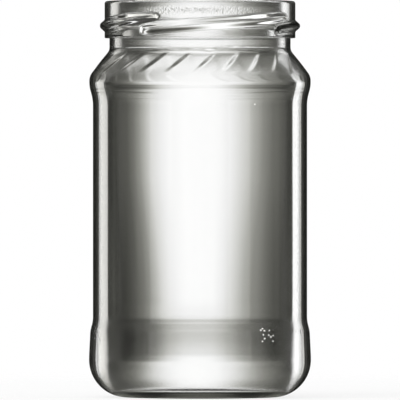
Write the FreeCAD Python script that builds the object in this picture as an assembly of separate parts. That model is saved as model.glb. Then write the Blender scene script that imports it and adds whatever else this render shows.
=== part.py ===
import FreeCAD, Part
import math
import os

from FreeCAD import Vector

# Empty glass preserving jar with a four-lug twist-off mouth, one piece of clear glass.
# Millimetres, +Z up, origin at the centre of the circle that the jar stands on.
# The front faces -Y; angles round the jar count from the front, positive towards +X.

# Overall
HEIGHT = 130.6            # from the standing ring to the top of the rim
PANEL_RADIUS = 35.3       # outside of the straight wall that takes the label
WALL = 2.1                # glass of the body, measured square to the surface

# Mouth: a plain ring with lugs, and the neck that a closing machine grips under it
FINISH_RADIUS = 31.45
FINISH_DEPTH = 12.2       # from the rim to the sharp step under the ring
FINISH_WALL = 2.0
RIM_ROUNDING = 0.9
NECK_INSET = 1.6          # how far the neck lies inside the ring above it
NECK_LENGTH = 4.05        # from that step to where neck and shoulder cone would meet
NECK_WALL = 1.6
NECK_ROUNDING = 2.8
BORE_EASE = 3.0           # height over which the bore narrows to the neck

# Shoulder: a cone that ends in a soft bead above the label panel
SHOULDER_ANGLE = 38.0     # degrees from upright
BEAD_SWELL = 1.2          # how far the bead stands out from the panel
BEAD_BAND = 3.4
BEAD_ROUNDING = 4.6
BEAD_EASE = 10.5
PANEL_EASE = 15.0
STEP_ANGLE = 15.5         # degrees from upright, where bead and heel fall back to the panel

# Heel: a band as proud as the bead, over the big round corner and the standing ring
HEEL_SWELL = 1.3
HEEL_BAND_TOP = 22.0
HEEL_TAPER = 0.42         # how much the band narrows towards its top
HEEL_ROUNDING = 13.5
HEEL_EASE = 10.0
STANDING_WIDTH = 1.6      # flat ring that touches the table
HEEL_SIDE_ROUNDING = 40.0 # soft bend between the corner and the tapered band
PUSH_UP = 1.4             # hollow under the base

# Inside of the heel: the glass thickens towards a flat floor
HEEL_WALL = 2.35
HEEL_WALL_LEVEL = 15.5
HEEL_FOOT_WALL = 2.8      # where wall and floor inside would meet
FLOOR_LEVEL = 3.4
FLOOR_ROUNDING = 6.5

# Lugs: short lengths of thread, low at the left end and rising to the right
LUG_COUNT = 4
LUG_START = -38.2         # degrees
LUG_SPAN = 102.0          # degrees
LUG_RISE = 4.3
LUG_DROP = 9.8            # from the rim down to the middle of a lug's low end
LUG_PROUD = 1.55
LUG_THICKNESS = 3.0
LUG_LEAD_IN = 9.0         # degrees over which a lug fades in at its low end
LUG_RUN_OUT = 22.0        # degrees over which it fades out at its high end
LUG_END_SHARE = 0.12      # share of the full section that is left at both ends
LUG_SECTIONS = 15
LUG_ROOT = 0.6            # how deep a lug is rooted in the wall
LUG_ROOT_SPREAD = 1.25    # section shares: width at the root, flank's break (out, width), crest width
LUG_BREAK_OUT = 0.65
LUG_BREAK_SPREAD = 0.62
LUG_CREST_SPREAD = 0.24
LUG_END_CROWDING = 1.5    # above 1, sections stand closer together towards a lug's ends

# Flutes: slanted ridges round the shoulder cone
FLUTE_COUNT = 24
FLUTE_START = -47.3       # degrees, low end
FLUTE_TURN = 12.5         # degrees from the low end to the high end
FLUTE_PROUD = 0.5
FLUTE_WIDTH = 2.6
FLUTE_MARGIN = 1.3        # clear cone above and below a flute, measured in height

# Levels and radii that follow
STEP_Z = HEIGHT - FINISH_DEPTH
NECK_RADIUS = FINISH_RADIUS - NECK_INSET
NECK_FOOT_Z = STEP_Z - NECK_LENGTH
BEAD_RADIUS = PANEL_RADIUS + BEAD_SWELL
SHOULDER_SLOPE = math.tan(math.radians(SHOULDER_ANGLE))
STEP_SLOPE = math.tan(math.radians(STEP_ANGLE))
SHOULDER_Z = NECK_FOOT_Z - (BEAD_RADIUS - NECK_RADIUS) / SHOULDER_SLOPE
BEAD_FOOT_Z = SHOULDER_Z - BEAD_BAND
PANEL_TOP_Z = BEAD_FOOT_Z - BEAD_SWELL / STEP_SLOPE
HEEL_RADIUS = PANEL_RADIUS + HEEL_SWELL
BAND_TOP_RADIUS = HEEL_RADIUS - HEEL_TAPER
PANEL_FOOT_Z = HEEL_BAND_TOP + (BAND_TOP_RADIUS - PANEL_RADIUS) / STEP_SLOPE
STANDING_RADIUS = HEEL_RADIUS - HEEL_ROUNDING
HOLLOW_RADIUS = STANDING_RADIUS - STANDING_WIDTH
BORE_RADIUS = FINISH_RADIUS - FINISH_WALL
NECK_BORE = NECK_RADIUS - NECK_WALL


def around(radius, angle, z):
    """Point at an angle round the jar, in degrees from the front."""
    turn = math.radians(angle)
    return Vector(radius * math.sin(turn), -radius * math.cos(turn), z)


def eased_edges(corners):
    """Lines through (radius, z, rounding) corners, with a tangent arc at each inner corner.

    Where two arcs would need more than the line between them, both give way in proportion.
    """
    points = [Vector(radius, 0, z) for radius, z, _ in corners]
    runs = [after - before for before, after in zip(points, points[1:])]
    turns = [one.getAngle(other) for one, other in zip(runs, runs[1:])]
    wanted = [rounding * math.tan(turn / 2) for (_, _, rounding), turn in zip(corners[1:-1], turns)]
    reach = [0.0] + wanted + [0.0]
    share = [min(1.0, 0.98 * run.Length / max(reach[i] + reach[i + 1], 1e-9))
             for i, run in enumerate(runs)]
    edges = []
    start = points[0]
    for i, turn in enumerate(turns, 1):
        corner = points[i]
        length = reach[i] * min(share[i - 1], share[i])
        before = Vector(runs[i - 1]).normalize()
        after = Vector(runs[i]).normalize()
        if length < 1e-6:
            edges.append(Part.LineSegment(start, corner).toShape())
            start = corner
            continue
        arc_in = corner - before * length
        arc_out = corner + after * length
        inward = Vector(after - before).normalize()
        sagitta = length * (1 / math.sin(turn / 2) - 1 / math.tan(turn / 2))
        arc_middle = corner + inward * sagitta
        edges.append(Part.LineSegment(start, arc_in).toShape())
        edges.append(Part.Arc(arc_in, arc_middle, arc_out).toShape())
        start = arc_out
    edges.append(Part.LineSegment(start, points[-1]).toShape())
    return edges


def outside_corners():
    """From the middle of the hollow under the base, out, up and over to the rim."""
    return [
        (0, PUSH_UP, 0),
        (HOLLOW_RADIUS / 2, PUSH_UP, HOLLOW_RADIUS ** 2 / PUSH_UP / 2),
        (HOLLOW_RADIUS, 0, 0),
        (HEEL_RADIUS, 0, HEEL_ROUNDING),
        (HEEL_RADIUS, HEEL_ROUNDING, HEEL_SIDE_ROUNDING),
        (BAND_TOP_RADIUS, HEEL_BAND_TOP, HEEL_EASE),
        (PANEL_RADIUS, PANEL_FOOT_Z, HEEL_EASE),
        (PANEL_RADIUS, PANEL_TOP_Z, PANEL_EASE),
        (BEAD_RADIUS, BEAD_FOOT_Z, BEAD_EASE),
        (BEAD_RADIUS, SHOULDER_Z, BEAD_ROUNDING),
        (NECK_RADIUS, NECK_FOOT_Z, NECK_ROUNDING),
        (NECK_RADIUS, STEP_Z, 0),
        (FINISH_RADIUS, STEP_Z, 0),
        (FINISH_RADIUS, HEIGHT, RIM_ROUNDING),
        (FINISH_RADIUS - FINISH_WALL / 2, HEIGHT, 0),
    ]


def inside_corners():
    """From the middle of the floor inside, out, up and over to the rim."""
    lowered = WALL * math.tan(math.radians(SHOULDER_ANGLE / 2))
    shoulder_z = SHOULDER_Z - lowered
    neck_z = shoulder_z + (BEAD_RADIUS - WALL - NECK_BORE) / SHOULDER_SLOPE
    return [
        (0, FLOOR_LEVEL, 0),
        (HEEL_RADIUS - HEEL_FOOT_WALL, FLOOR_LEVEL, FLOOR_ROUNDING),
        (HEEL_RADIUS - HEEL_WALL, HEEL_WALL_LEVEL, HEEL_SIDE_ROUNDING),
        (BAND_TOP_RADIUS - WALL, HEEL_BAND_TOP, HEEL_EASE),
        (PANEL_RADIUS - WALL, PANEL_FOOT_Z, HEEL_EASE),
        (PANEL_RADIUS - WALL, PANEL_TOP_Z, PANEL_EASE),
        (BEAD_RADIUS - WALL, BEAD_FOOT_Z, BEAD_EASE),
        (BEAD_RADIUS - WALL, shoulder_z, BEAD_ROUNDING),
        (NECK_BORE, neck_z, NECK_ROUNDING + WALL),
        (NECK_BORE, STEP_Z, BORE_EASE),
        (BORE_RADIUS, STEP_Z + BORE_EASE, BORE_EASE),
        (BORE_RADIUS, HEIGHT, RIM_ROUNDING),
        (FINISH_RADIUS - FINISH_WALL / 2, HEIGHT, 0),
    ]


def turned_solid(edges, top_z):
    """Solid turned from an outline that starts on the axis and ends at a height to close from."""
    start = edges[0].Vertexes[0].Point
    end = edges[-1].Vertexes[-1].Point
    over = [Vector(end.x, 0, top_z), Vector(0, 0, top_z), start]
    closing = [Part.LineSegment(one, other).toShape()
               for one, other in zip([end] + over, over) if (other - one).Length > 1e-6]
    section = Part.Face(Part.Wire(edges + closing))
    return section.revolve(Vector(0, 0, 0), Vector(0, 0, 1), 360)


def lug_fade(turned):
    """Share of a lug's full section at so many degrees from its low end."""
    lead = min(1.0, turned / LUG_LEAD_IN)
    run_out = min(1.0, (LUG_SPAN - turned) / LUG_RUN_OUT)
    return math.sqrt(max(0.0, lead * (2 - lead))) * math.sqrt(max(0.0, run_out * (2 - run_out)))


def lug_section(start, turned):
    """Section across a lug: flanks from roots in the wall, steepening towards a narrow crest."""
    share = max(lug_fade(turned), LUG_END_SHARE)
    middle = HEIGHT - LUG_DROP + LUG_RISE * turned / LUG_SPAN
    half = LUG_THICKNESS / 2 * math.sqrt(share)
    proud = LUG_PROUD * share
    steps = [(-LUG_ROOT, half * LUG_ROOT_SPREAD), (proud * LUG_BREAK_OUT, half * LUG_BREAK_SPREAD),
             (proud, half * LUG_CREST_SPREAD)]
    lower = [around(FINISH_RADIUS + out, start + turned, middle - up) for out, up in steps]
    upper = [around(FINISH_RADIUS + out, start + turned, middle + up) for out, up in reversed(steps)]
    return Part.makePolygon(lower + upper + lower[:1])


def lug(index):
    """One lug, lofted through sections that climb round the ring and fade at both ends."""
    start = LUG_START + index * 360 / LUG_COUNT
    middles = LUG_SPAN - LUG_LEAD_IN - LUG_RUN_OUT
    third = LUG_SECTIONS // 3
    stops = [LUG_LEAD_IN * (i / third) ** LUG_END_CROWDING for i in range(third)]
    stops += [LUG_LEAD_IN + middles * i / third for i in range(third)]
    stops += [LUG_SPAN - LUG_RUN_OUT * (1 - i / third) ** LUG_END_CROWDING for i in range(third + 1)]
    return Part.makeLoft([lug_section(start, turned) for turned in stops], True, False)


def flute(index):
    """One slanted ridge: a round bar bent more tightly than the cone, so both its ends sink in."""
    low_angle = FLUTE_START + index * 360 / FLUTE_COUNT
    low_z = SHOULDER_Z + FLUTE_MARGIN
    high_z = NECK_FOOT_Z - FLUTE_MARGIN
    bar = (FLUTE_WIDTH ** 2 / 4 + FLUTE_PROUD ** 2) / (2 * FLUTE_PROUD)
    depth = bar - FLUTE_PROUD

    def under_cone(share, sunk):
        z = low_z + share * (high_z - low_z)
        radius = NECK_RADIUS + (NECK_FOOT_Z - z) * SHOULDER_SLOPE
        tilt = math.radians(SHOULDER_ANGLE)
        return around(radius - sunk * math.cos(tilt), low_angle + share * FLUTE_TURN,
                      z - sunk * math.sin(tilt))

    low = under_cone(0, bar)
    middle = under_cone(0.5, depth)
    high = under_cone(1, bar)
    spine = Part.Arc(low, middle, high).toShape()
    rim = Part.Circle(low, spine.tangentAt(spine.FirstParameter), bar)
    end = Part.Face(Part.Wire(rim.toShape()))
    bend = spine.Curve
    return end.revolve(bend.Center, bend.Axis, math.degrees(spine.Length / bend.Radius))


def jar():
    """The whole jar as one solid: outside, lugs and flutes, then hollowed out."""
    ridges = [lug(index) for index in range(LUG_COUNT)]
    ridges += [flute(index) for index in range(FLUTE_COUNT)]
    outside = turned_solid(eased_edges(outside_corners()), HEIGHT)
    hollow = turned_solid(eased_edges(inside_corners()), HEIGHT + RIM_ROUNDING)
    return outside.fuse(ridges).cut(hollow).removeSplitter()


os.makedirs("parts", exist_ok=True)
jar().exportStep("parts/jar.step")
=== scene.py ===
import math
import random

import bpy
import numpy as np
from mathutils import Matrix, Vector

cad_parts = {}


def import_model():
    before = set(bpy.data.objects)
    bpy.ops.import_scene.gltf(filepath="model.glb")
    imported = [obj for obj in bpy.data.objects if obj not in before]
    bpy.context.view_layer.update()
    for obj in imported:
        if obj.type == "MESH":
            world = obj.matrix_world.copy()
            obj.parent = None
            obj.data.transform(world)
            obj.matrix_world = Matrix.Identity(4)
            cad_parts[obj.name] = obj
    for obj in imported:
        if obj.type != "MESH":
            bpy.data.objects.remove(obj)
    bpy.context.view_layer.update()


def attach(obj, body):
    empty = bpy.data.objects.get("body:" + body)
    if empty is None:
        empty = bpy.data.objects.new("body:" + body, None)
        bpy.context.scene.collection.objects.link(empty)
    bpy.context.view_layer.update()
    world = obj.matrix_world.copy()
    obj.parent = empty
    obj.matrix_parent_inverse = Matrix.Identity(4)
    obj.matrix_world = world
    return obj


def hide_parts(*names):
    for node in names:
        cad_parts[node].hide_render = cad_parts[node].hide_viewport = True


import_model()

# Empty glass preserving jar. Metres, +Z up, front towards -Y. Angles round the jar are in degrees from
# the front, positive towards +X. One fine glass mesh stands for the solid. It follows the solid's
# outline, whose sizes are written here again, with a rounded step, softer lugs, much lower flutes and a
# thinner foot than the solid has.

MM = 0.001

HEIGHT = 130.6 * MM
PANEL_RADIUS = 35.3 * MM
WALL = 2.1 * MM

FINISH_RADIUS = 31.45 * MM
FINISH_DEPTH = 12.2 * MM
FINISH_WALL = 2.0 * MM
RIM_ROUNDING = 0.9 * MM
STEP_ROUNDING = 0.25 * MM
NECK_INSET = 1.6 * MM
NECK_LENGTH = 4.05 * MM
NECK_WALL = 1.6 * MM
NECK_ROUNDING = 2.8 * MM
BORE_EASE = 3.0 * MM

SHOULDER_ANGLE = math.radians(38.0)
BEAD_SWELL = 1.2 * MM
BEAD_BAND = 3.4 * MM
BEAD_ROUNDING = 4.6 * MM
BEAD_EASE = 10.5 * MM
PANEL_EASE = 15.0 * MM
STEP_ANGLE = math.radians(15.5)

HEEL_SWELL = 1.28 * MM            # a hair less than the solid's, to stay inside its box
HEEL_BAND_TOP = 22.0 * MM
HEEL_TAPER = 0.42 * MM
HEEL_ROUNDING = 13.5 * MM
HEEL_EASE = 10.0 * MM
HEEL_SIDE_ROUNDING = 40.0 * MM
STANDING_WIDTH = 1.6 * MM
PUSH_UP = 1.0 * MM                # of the hollow under the base
BASE_EDGE_ROUNDING = 0.5 * MM     # where the hollow meets the standing ring

# Inside of the heel
FLOOR_LEVEL = 2.7 * MM
FLOOR_ROUNDING = 3.6 * MM         # where the slope inside the heel meets the floor
HEEL_SLANT = math.radians(53.0)   # of that slope, from upright
HEEL_FOOT_WALL = 2.2 * MM
HEEL_INSIDE_ROUNDING = 14.2 * MM
HEEL_THICK_TOP = 27.2 * MM        # the wall grows thicker from here down,
HEEL_THICK_MID = 22.0 * MM        # fastest here,
HEEL_THICK_LOW = 10.0 * MM        # and no more below this
HEEL_THICK_SLOPE = 0.058          # at its fastest

LUG_COUNT = 4
LUG_START = -38.2
LUG_SPAN = 102.0
LUG_RISE = 4.3 * MM
LUG_DROP = 9.8 * MM
LUG_PROUD = 1.55 * MM
LUG_SPREAD = 2.1 * MM             # from the middle of a lug to its foot
LUG_FLANK = 0.9                   # share of that taken by the flank
LUG_LEAD_IN = 9.0
LUG_RUN_OUT = 22.0

FLUTE_COUNT = 24
FLUTE_START = -47.3
FLUTE_TURN = 12.5
FLUTE_PROUD = 0.12 * MM           # at the front
FLUTE_PROUD_BACK = 0.02 * MM      # at the back, which is seen through the front
FLUTE_CREST = 0.84                # where across its pitch each one is highest
FLUTE_FULLNESS = 0.7              # below 1, the height stays near its full value for longer
FLUTE_MARGIN = 1.0 * MM

# Slow unevenness of the inside
RIPPLE_HEIGHT = 0.02 * MM
RIPPLE_WAVES = 7
RIPPLE_SEED = 3
RIPPLE_TURNS = (1, 5)             # waves in one turn round the jar
RIPPLE_CLIMB = (20, 110)          # radians of wave in a metre of height
RIPPLE_STRENGTH = (0.4, 1)        # of one wave against another

# Roughness of the inside, behind the relief of the mouth and shoulder and in the heel
HEEL_HAZE = 0.065
HEEL_HAZE_FADE = 3.0 * MM
SHOULDER_HAZE = 0.1
FINISH_HAZE = 0.085
HAZE_FADE = 1.5 * MM

# Fineness of the mesh
SEGMENTS = 300                    # round the jar
RING_SPREAD = 1.42                # all ring spacings are stretched by this
ARC_SPACING = 0.2                 # most of an arc's radius from one ring to the next
ARC_STEPS = 4                     # fewest on an arc
ARC_ROOM = 0.98                   # share of a line that the arcs at its two ends may take

# Levels and radii that follow, as in the solid
STEP_Z = HEIGHT - FINISH_DEPTH
NECK_RADIUS = FINISH_RADIUS - NECK_INSET
NECK_FOOT_Z = STEP_Z - NECK_LENGTH
BEAD_RADIUS = PANEL_RADIUS + BEAD_SWELL
SHOULDER_SLOPE = math.tan(SHOULDER_ANGLE)
STEP_SLOPE = math.tan(STEP_ANGLE)
SHOULDER_Z = NECK_FOOT_Z - (BEAD_RADIUS - NECK_RADIUS) / SHOULDER_SLOPE
BEAD_FOOT_Z = SHOULDER_Z - BEAD_BAND
PANEL_TOP_Z = BEAD_FOOT_Z - BEAD_SWELL / STEP_SLOPE
HEEL_RADIUS = PANEL_RADIUS + HEEL_SWELL
BAND_TOP_RADIUS = HEEL_RADIUS - HEEL_TAPER
PANEL_FOOT_Z = HEEL_BAND_TOP + (BAND_TOP_RADIUS - PANEL_RADIUS) / STEP_SLOPE
STANDING_RADIUS = HEEL_RADIUS - HEEL_ROUNDING
HOLLOW_RADIUS = STANDING_RADIUS - STANDING_WIDTH
BORE_RADIUS = FINISH_RADIUS - FINISH_WALL
NECK_BORE = NECK_RADIUS - NECK_WALL
RIM_MIDDLE = FINISH_RADIUS - FINISH_WALL / 2

HAZES = [                         # height, roughness
    (0.0, HEEL_HAZE),
    (PANEL_FOOT_Z, HEEL_HAZE),
    (PANEL_FOOT_Z + HEEL_HAZE_FADE, 0.0),
    (SHOULDER_Z - HAZE_FADE, 0.0),
    (SHOULDER_Z, SHOULDER_HAZE),
    (NECK_FOOT_Z, SHOULDER_HAZE),
    (NECK_FOOT_Z + HAZE_FADE, FINISH_HAZE),
    (HEIGHT, FINISH_HAZE),
]


# ------------------------------------------------------------------ outline of the glass

def outside_corners():
    """(radius, z, rounding, spacing of rings) from the hollow under the base up to the rim."""
    return [
        (0, PUSH_UP, 0, 2.2 * MM),
        (HOLLOW_RADIUS / 2, PUSH_UP, HOLLOW_RADIUS ** 2 / PUSH_UP / 2, 2.2 * MM),
        (HOLLOW_RADIUS, 0, BASE_EDGE_ROUNDING, 0.4 * MM),
        (HEEL_RADIUS, 0, HEEL_ROUNDING, 0.9 * MM),
        (HEEL_RADIUS, HEEL_ROUNDING, HEEL_SIDE_ROUNDING, 0.55 * MM),
        (BAND_TOP_RADIUS, HEEL_BAND_TOP, HEEL_EASE, 0.5 * MM),
        (PANEL_RADIUS, PANEL_FOOT_Z, HEEL_EASE, 4.0 * MM),
        (PANEL_RADIUS, PANEL_TOP_Z, PANEL_EASE, 0.6 * MM),
        (BEAD_RADIUS, BEAD_FOOT_Z, BEAD_EASE, 0.6 * MM),
        (BEAD_RADIUS, SHOULDER_Z, BEAD_ROUNDING, 0.25 * MM),
        (NECK_RADIUS, NECK_FOOT_Z, NECK_ROUNDING, 0.6 * MM),
        (NECK_RADIUS, STEP_Z, STEP_ROUNDING, 0.3 * MM),
        (FINISH_RADIUS, STEP_Z, STEP_ROUNDING, 0.22 * MM),
        (FINISH_RADIUS, HEIGHT, RIM_ROUNDING, 0.5 * MM),
        (RIM_MIDDLE, HEIGHT, 0, 0.5 * MM),
    ]


def inside_corners():
    """The same from the middle of the floor inside up to the rim."""
    shoulder_z = SHOULDER_Z - WALL * math.tan(SHOULDER_ANGLE / 2)
    neck_z = shoulder_z + (BEAD_RADIUS - WALL - NECK_BORE) / SHOULDER_SLOPE
    shift = WALL * math.tan(STEP_ANGLE / 2)
    heel_inside = HEEL_RADIUS - HEEL_FOOT_WALL
    slant_z = HEEL_ROUNDING - HEEL_INSIDE_ROUNDING * math.tan(HEEL_SLANT / 2)
    floor_radius = heel_inside - (slant_z - FLOOR_LEVEL) * math.tan(HEEL_SLANT)
    return [
        (0, FLOOR_LEVEL, 0, 2.2 * MM),
        (floor_radius, FLOOR_LEVEL, FLOOR_ROUNDING, 0.5 * MM),
        (heel_inside, slant_z, HEEL_INSIDE_ROUNDING, 0.7 * MM),
        (HEEL_RADIUS - WALL, HEEL_ROUNDING, HEEL_SIDE_ROUNDING - WALL, 0.7 * MM),
        (BAND_TOP_RADIUS - WALL, HEEL_BAND_TOP - shift, HEEL_EASE - WALL, 0.6 * MM),
        (PANEL_RADIUS - WALL, PANEL_FOOT_Z - shift, HEEL_EASE + WALL, 1.0 * MM),
        (PANEL_RADIUS - WALL, (PANEL_FOOT_Z + PANEL_TOP_Z) / 2, 0, 3.5 * MM),
        (PANEL_RADIUS - WALL, PANEL_TOP_Z + shift, PANEL_EASE + WALL, 0.9 * MM),
        (BEAD_RADIUS - WALL, BEAD_FOOT_Z + shift, BEAD_EASE - WALL, 0.9 * MM),
        (BEAD_RADIUS - WALL, shoulder_z, BEAD_ROUNDING, 0.7 * MM),
        (NECK_BORE, neck_z, NECK_ROUNDING + WALL, 0.7 * MM),
        (NECK_BORE, STEP_Z, BORE_EASE, 0.5 * MM),
        (BORE_RADIUS, STEP_Z + BORE_EASE, BORE_EASE, 1.0 * MM),
        (BORE_RADIUS, HEIGHT, RIM_ROUNDING, 0.5 * MM),
        (RIM_MIDDLE, HEIGHT, 0, 0.5 * MM),
    ]


def outline(corners):
    """Points (radius, z) along the eased outline, and its normal at each, to the right of its run.

    Every inner corner is a tangent arc; where two arcs need more than the line between them,
    both give way in proportion, as in the solid.
    """
    points = np.array([corner[:2] for corner in corners], float)
    runs = np.diff(points, axis=0)
    lengths = np.hypot(*runs.T)
    heads = runs / lengths[:, None]
    turns = [math.acos(np.clip(a @ b, -1, 1)) for a, b in zip(heads, heads[1:])]
    reach = [0.0] + [corner[2] * math.tan(t / 2) for corner, t in zip(corners[1:-1], turns)] + [0.0]
    share = [min(1.0, ARC_ROOM * length / max(reach[i] + reach[i + 1], 1e-9))
             for i, length in enumerate(lengths)]
    found = [(points[0], heads[0])]
    start = points[0]
    for i in range(1, len(points)):
        last = i == len(points) - 1
        cut = 0.0 if last else reach[i] * min(share[i - 1], share[i])
        arc_in = points[i] - heads[i - 1] * cut
        run = np.hypot(*(arc_in - start))
        steps = max(1, round(run / corners[i - 1][3] / RING_SPREAD))
        found += [(start + (arc_in - start) * k / steps, heads[i - 1]) for k in range(1, steps + 1)]
        start = arc_in
        if cut > 0:
            turn = turns[i - 1]
            radius = cut / math.tan(turn / 2)
            side = np.sign(heads[i - 1][0] * heads[i][1] - heads[i - 1][1] * heads[i][0])
            centre = arc_in + side * radius * np.array([-heads[i - 1][1], heads[i - 1][0]])
            spacing = min(corners[i - 1][3], corners[i][3], radius * ARC_SPACING) * RING_SPREAD
            steps = max(ARC_STEPS, round(radius * turn / spacing))
            for k in range(1, steps + 1):
                a = side * turn * k / steps
                rotate = np.array([[math.cos(a), -math.sin(a)], [math.sin(a), math.cos(a)]])
                found.append((centre + rotate @ (arc_in - centre), rotate @ heads[i - 1]))
            start = points[i] + heads[i] * cut
    place = np.array([p for p, _ in found])
    head = np.array([h for _, h in found])
    return place, np.column_stack([head[:, 1], -head[:, 0]])


outside, outside_normals = outline(outside_corners())
inside, inside_normals = outline(inside_corners())


def outside_radius(z):
    """Of the plain body at a height above the standing ring."""
    body = outside[np.argmin(outside[:, 1]):]
    return float(np.interp(z, body[:, 1], body[:, 0]))


# ------------------------------------------------------------------ relief and haze

def smooth(x):
    """From 0 to 1 with level ends."""
    x = np.clip(x, 0, 1)
    return x * x * (3 - 2 * x)


def lug_relief(angle, z):
    """Height of the four lugs above the ring of the mouth."""
    relief = np.zeros(np.broadcast(angle, z).shape)
    for index in range(LUG_COUNT):
        turned = (angle - LUG_START - index * 360 / LUG_COUNT) % 360
        on_lug = turned <= LUG_SPAN
        lead = np.clip(turned / LUG_LEAD_IN, 0, 1)
        run_out = np.clip((LUG_SPAN - turned) / LUG_RUN_OUT, 0, 1)
        fade = np.sqrt(lead * (2 - lead)) * np.sqrt(run_out * (2 - run_out)) * on_lug
        middle = HEIGHT - LUG_DROP + LUG_RISE * turned / LUG_SPAN
        half = LUG_SPREAD * np.sqrt(np.maximum(fade, 1e-6))
        flank = smooth((1 - np.abs(z - middle) / half) / LUG_FLANK)
        relief = np.maximum(relief, LUG_PROUD * fade * flank)
    return relief


def flute_relief(angle, z):
    """Slanted ridges round the shoulder: each rises gently from the left and drops off to the right."""
    low = SHOULDER_Z + FLUTE_MARGIN
    high = NECK_FOOT_Z - FLUTE_MARGIN
    share = (z - low) / (high - low)
    swell = np.sin(np.pi * np.clip(share, 0, 1)) ** FLUTE_FULLNESS
    pitch = 360 / FLUTE_COUNT
    across = ((angle - FLUTE_START - FLUTE_TURN * share) / pitch) % 1
    rise = 1 - (1 - np.clip(across / FLUTE_CREST, 0, 1)) ** 2
    drop = 1 - smooth((across - FLUTE_CREST) / (1 - FLUTE_CREST))
    front = smooth((1 + np.cos(np.radians(angle))) / 2)
    return (FLUTE_PROUD_BACK + (FLUTE_PROUD - FLUTE_PROUD_BACK) * front) * swell * rise * drop


def ripple(angle, z):
    """Slow unevenness of blown glass: a sum of long waves round and up the jar, from -1 to 1."""
    rng = random.Random(RIPPLE_SEED)
    total = np.zeros(np.broadcast(angle, z).shape)
    for _ in range(RIPPLE_WAVES):
        turns = rng.randint(*RIPPLE_TURNS)
        climb = rng.uniform(*RIPPLE_CLIMB)
        phase = rng.uniform(0, 2 * math.pi)
        total += np.sin(np.radians(angle) * turns + z * climb + phase) * rng.uniform(*RIPPLE_STRENGTH)
    return total / RIPPLE_WAVES


def heel_thickening(z):
    """Extra wall inside towards the heel, with a slope that comes and goes gently."""
    above = np.clip(HEEL_THICK_TOP - z, 0, HEEL_THICK_TOP - HEEL_THICK_MID)
    below = np.clip(HEEL_THICK_MID - z, 0, HEEL_THICK_MID - HEEL_THICK_LOW)
    return HEEL_THICK_SLOPE * (above ** 2 / 2 / (HEEL_THICK_TOP - HEEL_THICK_MID)
                               + below - below ** 2 / 2 / (HEEL_THICK_MID - HEEL_THICK_LOW))


def haze(z):
    """Roughness of the inside at a height."""
    return float(np.interp(z, *zip(*HAZES)))


# ------------------------------------------------------------------ meshes

def make_mesh(name, verts, faces):
    mesh = bpy.data.meshes.new(name)
    mesh.from_pydata(verts, [], faces)
    return mesh


def make_object(name, data):
    made = bpy.data.objects.new(name, data)
    bpy.context.collection.objects.link(made)
    return made


def glass_rings(angle):
    """(radii, heights, haze) ring by ring, from under the base over the rim to the floor inside."""
    rings = []
    for (radius, z), normal in zip(outside[1:], outside_normals[1:]):
        lift = lug_relief(angle, z) if z > STEP_Z else np.zeros(SEGMENTS)
        lift = lift + flute_relief(angle, z)
        rings.append((radius + normal[0] * lift, z + normal[1] * lift, 0.0))
    for (radius, z), normal in reversed(list(zip(inside[1:-1], inside_normals[1:-1]))):
        lift = RIPPLE_HEIGHT * ripple(angle, z) - heel_thickening(z) * normal[0]
        rings.append((radius + normal[0] * lift, z + normal[1] * lift, haze(z)))
    return rings


def glass_mesh(name):
    """Closed lathe mesh of the jar, with the haze of each vertex as an attribute."""
    angle = np.arange(SEGMENTS) * 360 / SEGMENTS
    turn = np.radians(angle)
    rings = glass_rings(angle)
    verts = [(0, 0, outside[0][1])]
    hazes = [0.0]
    for radius, z, value in rings:
        level = np.clip(z, 0, HEIGHT)
        verts += list(zip(radius * np.sin(turn), -radius * np.cos(turn), level))
        hazes += [value] * SEGMENTS
    verts.append((0, 0, inside[0][1]))
    hazes.append(0.0)
    faces = []
    top = len(verts) - 1
    for j in range(SEGMENTS):
        k = (j + 1) % SEGMENTS
        faces.append((0, 1 + k, 1 + j))
        for i in range(len(rings) - 1):
            a, b = 1 + i * SEGMENTS, 1 + (i + 1) * SEGMENTS
            faces.append((a + j, a + k, b + k, b + j))
        last = 1 + (len(rings) - 1) * SEGMENTS
        faces.append((last + j, last + k, top))
    mesh = make_mesh(name, [tuple(map(float, v)) for v in verts], faces)
    mesh.shade_smooth()
    mesh.update()
    mesh.attributes.new("haze", "FLOAT", "POINT").data.foreach_set("value", hazes)
    return mesh


# ------------------------------------------------------------------ shader nodes

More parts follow.
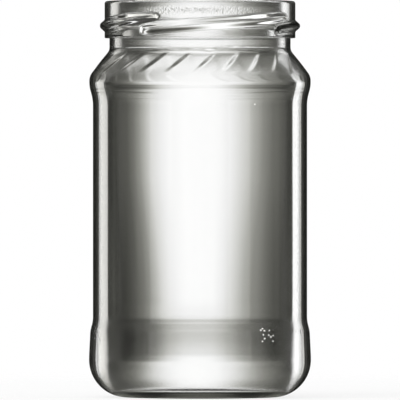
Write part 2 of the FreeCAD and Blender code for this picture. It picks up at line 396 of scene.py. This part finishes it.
class Nodes:
    """The node tree of a material or world, with short calls that add a node and give its output."""

    def __init__(self, owner):
        owner.use_nodes = True
        self.tree = owner.node_tree

    def add(self, kind):
        return self.tree.nodes.new("ShaderNode" + kind)

    def principled(self):
        """The shader that a new material starts with."""
        return self.tree.nodes["Principled BSDF"]

    def finish(self, value, socket="Surface"):
        """Links an output to the material's own output."""
        self.put(value, self.tree.nodes["Material Output"].inputs[socket])

    def put(self, value, socket):
        """Sets a socket to a number, colour or vector, or links an output to it."""
        if isinstance(value, bpy.types.NodeSocket):
            self.tree.links.new(value, socket)
        else:
            socket.default_value = value

    def put_all(self, values, sockets):
        for value, socket in zip(values, sockets):
            self.put(value, socket)

    def calc(self, operation, *values):
        node = self.add("Math")
        node.operation = operation
        self.put_all(values, node.inputs)
        return node.outputs[0]

    def add_up(self, values):
        total = values[0]
        for value in values[1:]:
            total = self.calc("ADD", total, value)
        return total

    def vector(self, operation, *values):
        """Gives a vector, or a number for a length or distance."""
        node = self.add("VectorMath")
        node.operation = operation
        self.put_all(values, node.inputs)
        return node.outputs["Value" if operation in ("LENGTH", "DISTANCE") else "Vector"]

    def split(self, vector):
        node = self.add("SeparateXYZ")
        self.put(vector, node.inputs[0])
        return node.outputs

    def ramp(self, value, start, end, from_value=0.0, to_value=1.0, smoothly=True):
        """from_value at start and to_value at end, and level beyond them."""
        node = self.add("MapRange")
        if smoothly:
            node.interpolation_type = "SMOOTHSTEP"
        self.put_all((value, start, end, from_value, to_value), node.inputs)
        return node.outputs["Result"]

    def band(self, value, middle, half):
        """One in the middle of a band, falling to nothing at a distance of half."""
        away = self.calc("ABSOLUTE", self.calc("SUBTRACT", value, middle))
        return self.ramp(away, 0.0, half, 1.0, 0.0)

    def blend(self, share, first, second):
        node = self.add("Mix")
        node.data_type = "FLOAT"
        self.put_all((share, first, second), (node.inputs[name] for name in ("Factor", "A", "B")))
        return node.outputs["Result"]

    def noise(self, place, scale, detail):
        node = self.add("TexNoise")
        node.inputs["Scale"].default_value = scale
        node.inputs["Detail"].default_value = detail
        self.put(place, node.inputs["Vector"])
        return node.outputs["Fac"]

    def curve(self, value, points):
        """Straight lines through (x, y) points: one float curve, with both its ranges stretched."""
        low_x, high_x = points[0][0], points[-1][0]
        high_y = max(y for _, y in points)
        node = self.add("FloatCurve")
        line = node.mapping.curves[0]
        while len(line.points) < len(points):
            line.points.new(0.5, 0.5)
        for point, (x, y) in zip(line.points, points):
            point.location = ((x - low_x) / (high_x - low_x), y / high_y)
            point.handle_type = "VECTOR"
        node.mapping.update()
        self.put(self.ramp(value, low_x, high_x, smoothly=False), node.inputs["Value"])
        return self.calc("MULTIPLY", node.outputs["Value"], high_y)

    def emission(self, kind, colour, strength):
        """Of kind Emission or Background."""
        node = self.add(kind)
        self.put_all((colour, strength), node.inputs)
        return node.outputs[0]

    def mix_shaders(self, share, first, second):
        node = self.add("MixShader")
        self.put_all((share, first, second), node.inputs)
        return node.outputs[0]


# ------------------------------------------------------------------ glass

GLASS_IOR = 1.52
GLASS_TINT = (0.80, 0.86, 0.78, 1)
GLASS_DENSITY = 12.0              # of the tint, in a metre of glass

# Fine relief of the outside, in millimetres.
# Beads cast with the jar: degrees from the front, height and radius
BEADS = [
    # a group on the heel, front right
    (33.4, 22.5, 0.35), (34.6, 23.0, 0.35), (35.7, 22.3, 0.35), (34.9, 21.0, 0.3), (35.6, 19.8, 0.35),
    (34.2, 18.9, 0.3), (38.9, 22.4, 0.3), (38.3, 20.9, 0.3), (39.7, 20.3, 0.35), (41.2, 20.7, 0.3),
    (41.0, 18.9, 0.3),
    # a group on the heel, left, with one beside it
    (-79.5, 23.2, 0.4), (-76.0, 23.4, 0.4), (-72.5, 23.0, 0.4), (-80.0, 21.7, 0.4), (-75.0, 21.5, 0.45),
    (-71.5, 21.3, 0.4), (-76.5, 19.9, 0.4), (-72.0, 19.7, 0.4), (-65.0, 19.1, 0.5),
    # three on the heel, right
    (90.0, 22.4, 0.7), (66.0, 21.8, 0.55), (69.0, 22.3, 0.4),
    # a blister near the top of the panel
    (30.6, 96.3, 0.3),
]
BEAD_RISE = 5 / 9                 # height of a bead, as a share of its radius
# Rings left by the mould below the shoulder bead: height, how proud
SEAMS = [(101.1, 0.014), (98.2, 0.008)]
SEAM_HALF = 0.6
# Wrinkles below the rim
WRINKLE_HEIGHT = 0.09
WRINKLE_Z = 127.0
WRINKLE_HALF = 1.9
WRINKLE_RADIUS = 30.7             # only outside this
WRINKLE_SCALE = 1.3               # of their noise, to a millimetre
WRINKLE_DETAIL = 2.0
# Uneven bend at the foot of the neck
NECK_WAVE_HEIGHT = 0.09
NECK_WAVE_LOW = -0.3              # lowest, from the foot of the neck
NECK_WAVE_SWING = 1.2             # from there to its highest
NECK_WAVE_HALF = 0.9
NECK_WAVE_SCALE = 0.16
NECK_WAVE_DETAIL = 1.0
FRONT_HALF = 29.0                 # both fade out towards this distance left and right of the middle


def bead_heights(tree, place):
    heights = []
    for angle, z, radius in BEADS:
        surface = outside_radius(z * MM) / MM
        turn = math.radians(angle)
        middle = (surface * math.sin(turn), -surface * math.cos(turn), z)
        bead = tree.band(tree.vector("DISTANCE", place, middle), 0.0, radius)
        heights.append(tree.calc("MULTIPLY", bead, BEAD_RISE * radius))
    return heights


def front_share(tree, axes):
    """One at the front, nothing at the sides and behind."""
    front = tree.calc("LESS_THAN", axes["Y"], 0.0)
    return tree.calc("MULTIPLY", front, tree.band(axes["X"], 0.0, FRONT_HALF))


def wrinkle_height(tree, place, axes, front):
    level = tree.vector("MULTIPLY", place, (1, 1, 0))
    outer = tree.calc("GREATER_THAN", tree.vector("LENGTH", level), WRINKLE_RADIUS)
    where = tree.band(axes["Z"], WRINKLE_Z, WRINKLE_HALF)
    where = tree.calc("MULTIPLY", where, tree.calc("MULTIPLY", outer, front))
    height = tree.calc("MULTIPLY", tree.noise(place, WRINKLE_SCALE, WRINKLE_DETAIL), WRINKLE_HEIGHT)
    return tree.calc("MULTIPLY", height, where)


def neck_wave_height(tree, place, axes, front):
    swing = tree.calc("MULTIPLY", tree.noise(place, NECK_WAVE_SCALE, NECK_WAVE_DETAIL), NECK_WAVE_SWING)
    level = tree.calc("ADD", NECK_FOOT_Z / MM + NECK_WAVE_LOW, swing)
    where = tree.band(tree.calc("SUBTRACT", axes["Z"], level), 0.0, NECK_WAVE_HALF)
    return tree.calc("MULTIPLY", tree.calc("MULTIPLY", where, front), NECK_WAVE_HEIGHT)


def seam_heights(tree, axes):
    return [tree.calc("MULTIPLY", tree.band(axes["Z"], z, SEAM_HALF), height) for z, height in SEAMS]


def relief_normal(tree):
    """Normal of the glass with all its fine relief, which is worked out in millimetres."""
    place = tree.vector("MULTIPLY", tree.add("TexCoord").outputs["Object"], (1 / MM, 1 / MM, 1 / MM))
    axes = tree.split(place)
    front = front_share(tree, axes)
    heights = bead_heights(tree, place)
    heights.append(wrinkle_height(tree, place, axes, front))
    heights.append(neck_wave_height(tree, place, axes, front))
    heights += seam_heights(tree, axes)
    bump = tree.add("Bump")
    bump.inputs["Distance"].default_value = MM
    tree.put(tree.add_up(heights), bump.inputs["Height"])
    return bump.outputs["Normal"]


def glass_material():
    """Clear glass with a faint tint in its thickness."""
    material = bpy.data.materials.new("clear_glass")
    tree = Nodes(material)
    shader = tree.principled()
    shader.inputs["Base Color"].default_value = (1, 1, 1, 1)
    shader.inputs["IOR"].default_value = GLASS_IOR
    shader.inputs["Transmission Weight"].default_value = 1.0
    rough = tree.add("Attribute")
    rough.attribute_name = "haze"
    tree.put(rough.outputs["Fac"], shader.inputs["Roughness"])
    tree.put(relief_normal(tree), shader.inputs["Normal"])
    absorb = tree.add("VolumeAbsorption")
    absorb.inputs["Color"].default_value = GLASS_TINT
    absorb.inputs["Density"].default_value = GLASS_DENSITY
    tree.finish(absorb.outputs["Volume"], "Volume")
    return material


# ------------------------------------------------------------------ table top

WHITE = (1, 1, 1, 1)
TABLE_RADIUS = 0.45
TABLE_RINGS = 24
TABLE_SEGMENTS = 96
TABLE_COLOUR = (0.9, 0.9, 0.9, 1)
TABLE_ROUGHNESS = 0.6
TABLE_WHITE = 0.8                 # share of plain white in what the camera sees of it
TABLE_FADE = (0.12, 0.441)        # distances from the jar's axis where it starts and ends to fade out


def table_mesh(name):
    """Flat disc in rings."""
    verts = [(0, 0, 0)]
    faces = []
    for i in range(1, TABLE_RINGS + 1):
        r = TABLE_RADIUS * i / TABLE_RINGS
        turns = [2 * math.pi * j / TABLE_SEGMENTS for j in range(TABLE_SEGMENTS)]
        verts += [(r * math.sin(turn), r * math.cos(turn), 0) for turn in turns]
    for j in range(TABLE_SEGMENTS):
        k = (j + 1) % TABLE_SEGMENTS
        faces.append((0, 1 + k, 1 + j))
        for i in range(TABLE_RINGS - 1):
            a, b = 1 + i * TABLE_SEGMENTS, 1 + (i + 1) * TABLE_SEGMENTS
            faces.append((a + j, a + k, b + k, b + j))
    return make_mesh(name, verts, faces)


def table_material():
    """Pale and matt, lightened for the camera alone, and clear towards its edge."""
    material = bpy.data.materials.new("white_table")
    tree = Nodes(material)
    shader = tree.principled()
    shader.inputs["Base Color"].default_value = TABLE_COLOUR
    shader.inputs["Roughness"].default_value = TABLE_ROUGHNESS
    shader.inputs["Specular IOR Level"].default_value = 0.0
    distance = tree.vector("LENGTH", tree.add("NewGeometry").outputs["Position"])
    fade = tree.ramp(distance, *TABLE_FADE)
    camera_ray = tree.add("LightPath").outputs["Is Camera Ray"]
    lighter = tree.calc("MULTIPLY", camera_ray, TABLE_WHITE)
    white = tree.emission("Emission", WHITE, 1.0)
    seen = tree.mix_shaders(lighter, shader.outputs["BSDF"], white)
    clear = tree.add("BsdfTransparent").outputs["BSDF"]
    tree.finish(tree.mix_shaders(fade, seen, clear))
    return material


def stage_table():
    """Pale round table top, which the glass itself doesn't show."""
    floor = make_object("table_top", table_mesh("table_top"))
    floor.data.materials.append(table_material())
    floor.visible_transmission = False
    floor.visible_glossy = False


# ------------------------------------------------------------------ dark screens

FLAG_COUNT = 8
FLAG_WIDTH = 4.5 * MM
FLAG_GAP = 0.12 * MM
FLAG_COLOUR = (0.04, 0.04, 0.036, 1)
FLAG_SLANT = 0.2           # slatted: dark to light that meets them squarely, open beyond 37 degrees


def flag_material():
    """Dark card in slats."""
    material = bpy.data.materials.new("black_card")
    tree = Nodes(material)
    shader = tree.principled()
    shader.inputs["Base Color"].default_value = FLAG_COLOUR
    shader.inputs["Specular IOR Level"].default_value = 0.0
    slant = tree.add("LayerWeight")
    slant.inputs["Blend"].default_value = 0.5
    open_slats = tree.calc("GREATER_THAN", slant.outputs["Facing"], FLAG_SLANT)
    clear = tree.add("BsdfTransparent").outputs["BSDF"]
    tree.finish(tree.mix_shaders(open_slats, shader.outputs["BSDF"], clear))
    return material


def stage_flags():
    """Narrow dark screens that stand out from the glass, one each eighth of the way round.

    Only the glass shows them: from the front, and from each further eighth of a turn, the two at
    the sides are seen through its edges and darken the jar's outline.
    """
    profile = outside[outside[:, 0] > STANDING_RADIUS]
    black = flag_material()
    for index in range(FLAG_COUNT):
        degrees = 360 * index / FLAG_COUNT
        a = math.radians(degrees)
        verts = []
        for r, z in profile:
            near = r + FLAG_GAP + float(lug_relief(degrees, z) if z > STEP_Z else 0)
            far = r + FLAG_WIDTH
            verts += [(near * math.sin(a), -near * math.cos(a), z),
                      (far * math.sin(a), -far * math.cos(a), z)]
        faces = [(2 * i, 2 * i + 1, 2 * i + 3, 2 * i + 2) for i in range(len(profile) - 1)]
        flag = make_object(f"flag_{index}", make_mesh(f"flag_{index}", verts, faces))
        flag.data.materials.append(black)
        flag.visible_camera = False
        flag.visible_shadow = False
        flag.visible_diffuse = False


# ------------------------------------------------------------------ studio that the glass shows

# The camera sees plain white. Light that comes through or off the glass sees the studio below, which
# is alike in each eighth of the way round, or for mirrored light in each quarter. Its tones are control
# points typed in, and brought step by step nearer to the brightness measured in the photo's
# glass. So the shades in the panel are drawn by this light, and not by the shape of the jar alone.

EIGHTH_HALF = 22.5         # degrees to either side of the middle of an eighth
QUARTER_HALF = 45.0

# Light straight through the glass: degrees from the middle of the eighth -> brightness,
# of the lit middle and of the strips at its sides, each to the left and to the right
MIDDLE_LEFT = [(0.0, 1.17), (0.35, 1.16), (0.7, 1.09), (0.95, 0.98), (1.28, 0.78), (1.55, 0.53),
               (1.86, 0.31), (2.2, 0.2), (2.7, 0.12), (3.4, 0.08), (4.5, 0.039), (6.0, 0.042),
               (7.0, 0.06), (8.5, 0.07), (22.5, 0.07)]
MIDDLE_RIGHT = [(0.0, 1.17), (0.4, 1.13), (0.7, 1.0), (1.16, 0.71), (1.55, 0.46), (2.0, 0.295),
                (2.7, 0.19), (3.3, 0.14), (4.0, 0.1), (5.0, 0.062), (6.0, 0.055), (8.5, 0.08),
                (22.5, 0.08)]
STRIP_START_LEFT = 9.35
SIDE_LEFT = [(0.0, 0.0), (STRIP_START_LEFT, 0.0), (9.45, 0.8), (11.0, 0.9), (14.1, 1.25), (21.0, 2.2),
             (22.5, 2.3)]
SIDE_RIGHT = [(0.0, 0.0), (9.3, 0.0), (9.6, 1.35), (11.0, 1.5), (14.1, 1.8), (18.0, 1.4), (22.5, 1.0)]
LEFT_EDGE = (13.0, 9.0)    # degrees above the horizon where the left-hand one starts and is full

# Degrees above the horizon -> brightness and width of the lit middle
HEIGHT_TONES = [(-24.0, 1.0), (-8.4, 1.0), (-6.0, 0.8), (-4.3, 0.62), (-3.3, 0.62), (-2.9, 0.69),
                (-2.3, 0.84), (-1.3, 0.94), (-0.6, 1.0), (24.0, 1.0)]
HEIGHT_WIDTHS = [(-24.0, 2.0), (-16.0, 1.5), (-7.4, 1.25), (-4.0, 0.78), (-2.9, 0.83), (-2.4, 0.88),
                 (-1.9, 0.96), (-1.4, 0.99), (-0.75, 0.94), (-0.53, 0.98), (-0.42, 1.03), (-0.3, 1.08),
                 (-0.18, 1.16), (-0.06, 1.25), (0.05, 1.31), (0.3, 1.36), (0.8, 1.38), (1.2, 1.38),
                 (1.7, 1.28), (2.2, 1.28), (4.2, 1.5), (8.0, 1.45), (13.0, 1.5), (24.0, 1.6)]
TABLE_EDGE = (-18.0, -32.0)       # from dark to the table's white, degrees above the horizon

# Light mirrored inside the glass: degrees from the nearest quarter -> brightness
MIRRORED_TONES = [(0.0, 0.0), (31.5, 0.0), (33.0, 0.9), (45.0, 0.9)]
MIRROR_EDGE = (14.0, 6.0)  # these tones hold within the second of these, in degrees from the horizon,
MIRROR_REST = 0.13         # and this one beyond the first
CAVITY_SHARE = 0.12        # of the strips, in light mirrored across the empty jar,
CAVITY_DEPTH = 3.5         # which has passed more surfaces than this
SHEEN_TONE = 0.12          # mirrored in the outer surface

DARK_BLUE = 0.88           # share of blue left in the darkest tones
WARM_GREEN = 0.985         # shares left in the strips on the left
WARM_BLUE = 0.94
ROOM_COLOUR = (0.8, 0.8, 0.8, 1)  # lights the table top


def direction(tree):
    """Degrees to the right of straight ahead, seen from the front, and above the horizon."""
    axes = tree.split(tree.add("TexCoord").outputs["Generated"])
    azimuth = tree.calc("DEGREES", tree.calc("ARCTAN2", axes["X"], axes["Y"]))
    height = tree.calc("DEGREES", tree.calc("ARCSINE", axes["Z"]))
    return azimuth, height


def middle_tone(tree, height, away, right):
    """The lit middle, and below it the table."""
    spread = tree.calc("DIVIDE", away, tree.curve(height, HEIGHT_WIDTHS))
    tone = tree.blend(right, tree.curve(spread, MIDDLE_LEFT), tree.curve(spread, MIDDLE_RIGHT))
    tone = tree.calc("MULTIPLY", tone, tree.curve(height, HEIGHT_TONES))
    return tree.calc("MAXIMUM", tone, tree.ramp(height, *TABLE_EDGE))


def side_tone(tree, height, away, right):
    """The strips at both sides."""
    left = tree.calc("MULTIPLY", tree.curve(away, SIDE_LEFT), tree.ramp(height, *LEFT_EDGE))
    return tree.blend(right, left, tree.curve(away, SIDE_RIGHT))


def mirrored_tone(tree, azimuth, height, side, passes):
    """Light that the inside of the glass or the empty jar has mirrored."""
    tone = tree.curve(tree.calc("PINGPONG", azimuth, QUARTER_HALF), MIRRORED_TONES)
    cavity = tree.calc("GREATER_THAN", passes, CAVITY_DEPTH)
    tone = tree.blend(cavity, tone, tree.calc("MULTIPLY", side, CAVITY_SHARE))
    near = tree.ramp(tree.calc("ABSOLUTE", height), *MIRROR_EDGE)
    return tree.blend(near, MIRROR_REST, tone)


def studio_tint(tree, tone, away, right):
    """A little less blue in the darks, and warm in the strips on the left."""
    strips = tree.calc("GREATER_THAN", away, STRIP_START_LEFT)
    warm = tree.calc("MULTIPLY", tree.calc("SUBTRACT", 1.0, right), strips)
    blue = tree.ramp(tone, 0.0, 1.0, DARK_BLUE, 1.0, smoothly=False)
    tint = tree.add("CombineColor")
    green = tree.blend(warm, 1.0, WARM_GREEN)
    tree.put_all((1.0, green, tree.blend(warm, blue, WARM_BLUE)), tint.inputs)
    return tint.outputs["Color"]


def studio_light(tree, path):
    """What the glass shows in the direction of a ray."""
    azimuth, height = direction(tree)
    signed = tree.calc("WRAP", azimuth, EIGHTH_HALF, -EIGHTH_HALF)
    away = tree.calc("ABSOLUTE", signed)
    right = tree.calc("GREATER_THAN", signed, 0.0)
    side = side_tone(tree, height, away, right)
    through = tree.calc("MAXIMUM", middle_tone(tree, height, away, right), side)
    mirrored = mirrored_tone(tree, azimuth, height, side, path["Transmission Depth"])
    entered = tree.calc("GREATER_THAN", path["Transmission Depth"], 0.5)
    sheen = tree.blend(entered, SHEEN_TONE, mirrored)
    reflected = tree.calc("GREATER_THAN", path["Glossy Depth"], 0.5)
    tone = tree.blend(reflected, through, sheen)
    return tree.emission("Background", studio_tint(tree, tone, away, right), tone)


def world():
    """White to the camera, the studio to the glass and a plain room to all else."""
    made = bpy.data.worlds.new("studio")
    bpy.context.scene.world = made
    tree = Nodes(made)
    made.node_tree.nodes.clear()
    path = tree.add("LightPath").outputs
    room = tree.emission("Background", ROOM_COLOUR, 1.0)
    glass_ray = tree.calc("MAXIMUM", path["Is Glossy Ray"], path["Is Transmission Ray"])
    around = tree.mix_shaders(glass_ray, room, studio_light(tree, path))
    white = tree.emission("Background", WHITE, 1.0)
    surface = tree.mix_shaders(path["Is Camera Ray"], around, white)
    tree.put(surface, tree.add("OutputWorld").inputs["Surface"])


# ------------------------------------------------------------------ camera and lamp

CAMERA_DISTANCE = 3.2
CAMERA_HEIGHT = 72 * MM
VIEW_WIDTH = 131.9 * MM    # what the frame takes in across the jar's middle
AIM_HEIGHT = 65.0 * MM

KEY_PLACE = (-0.6, -0.5, 1.2)
KEY_SIZE = 0.8
KEY_WATTS = 6


def camera():
    """From the front, almost level, and so far away that there is little perspective."""
    data = bpy.data.cameras.new("camera")
    made = make_object("camera", data)
    made.location = (0, -CAMERA_DISTANCE, CAMERA_HEIGHT)
    pitch = math.pi / 2 - math.atan2(CAMERA_HEIGHT - AIM_HEIGHT, CAMERA_DISTANCE)
    made.rotation_euler = (pitch, 0, 0)
    data.lens = data.sensor_width * CAMERA_DISTANCE / VIEW_WIDTH
    bpy.context.scene.camera = made


def key_lamp():
    """Soft light on the table top from the front left, which the glass doesn't show."""
    data = bpy.data.lights.new("key_soft", "AREA")
    data.size = KEY_SIZE
    data.energy = KEY_WATTS
    made = make_object("key_soft", data)
    made.location = KEY_PLACE
    made.rotation_euler = (-Vector(KEY_PLACE)).to_track_quat("-Z", "Y").to_euler()
    made.visible_glossy = False
    made.visible_transmission = False


# ------------------------------------------------------------------ scene

jar = make_object("glass_jar", glass_mesh("glass_jar"))
jar.data.materials.append(glass_material())
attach(jar, "root")
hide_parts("jar")

stage_table()
stage_flags()
world()
camera()
key_lamp()

scene = bpy.context.scene
scene.view_settings.view_transform = "Standard"
scene.cycles.max_bounces = 24
scene.cycles.transmission_bounces = 24
scene.cycles.glossy_bounces = 12
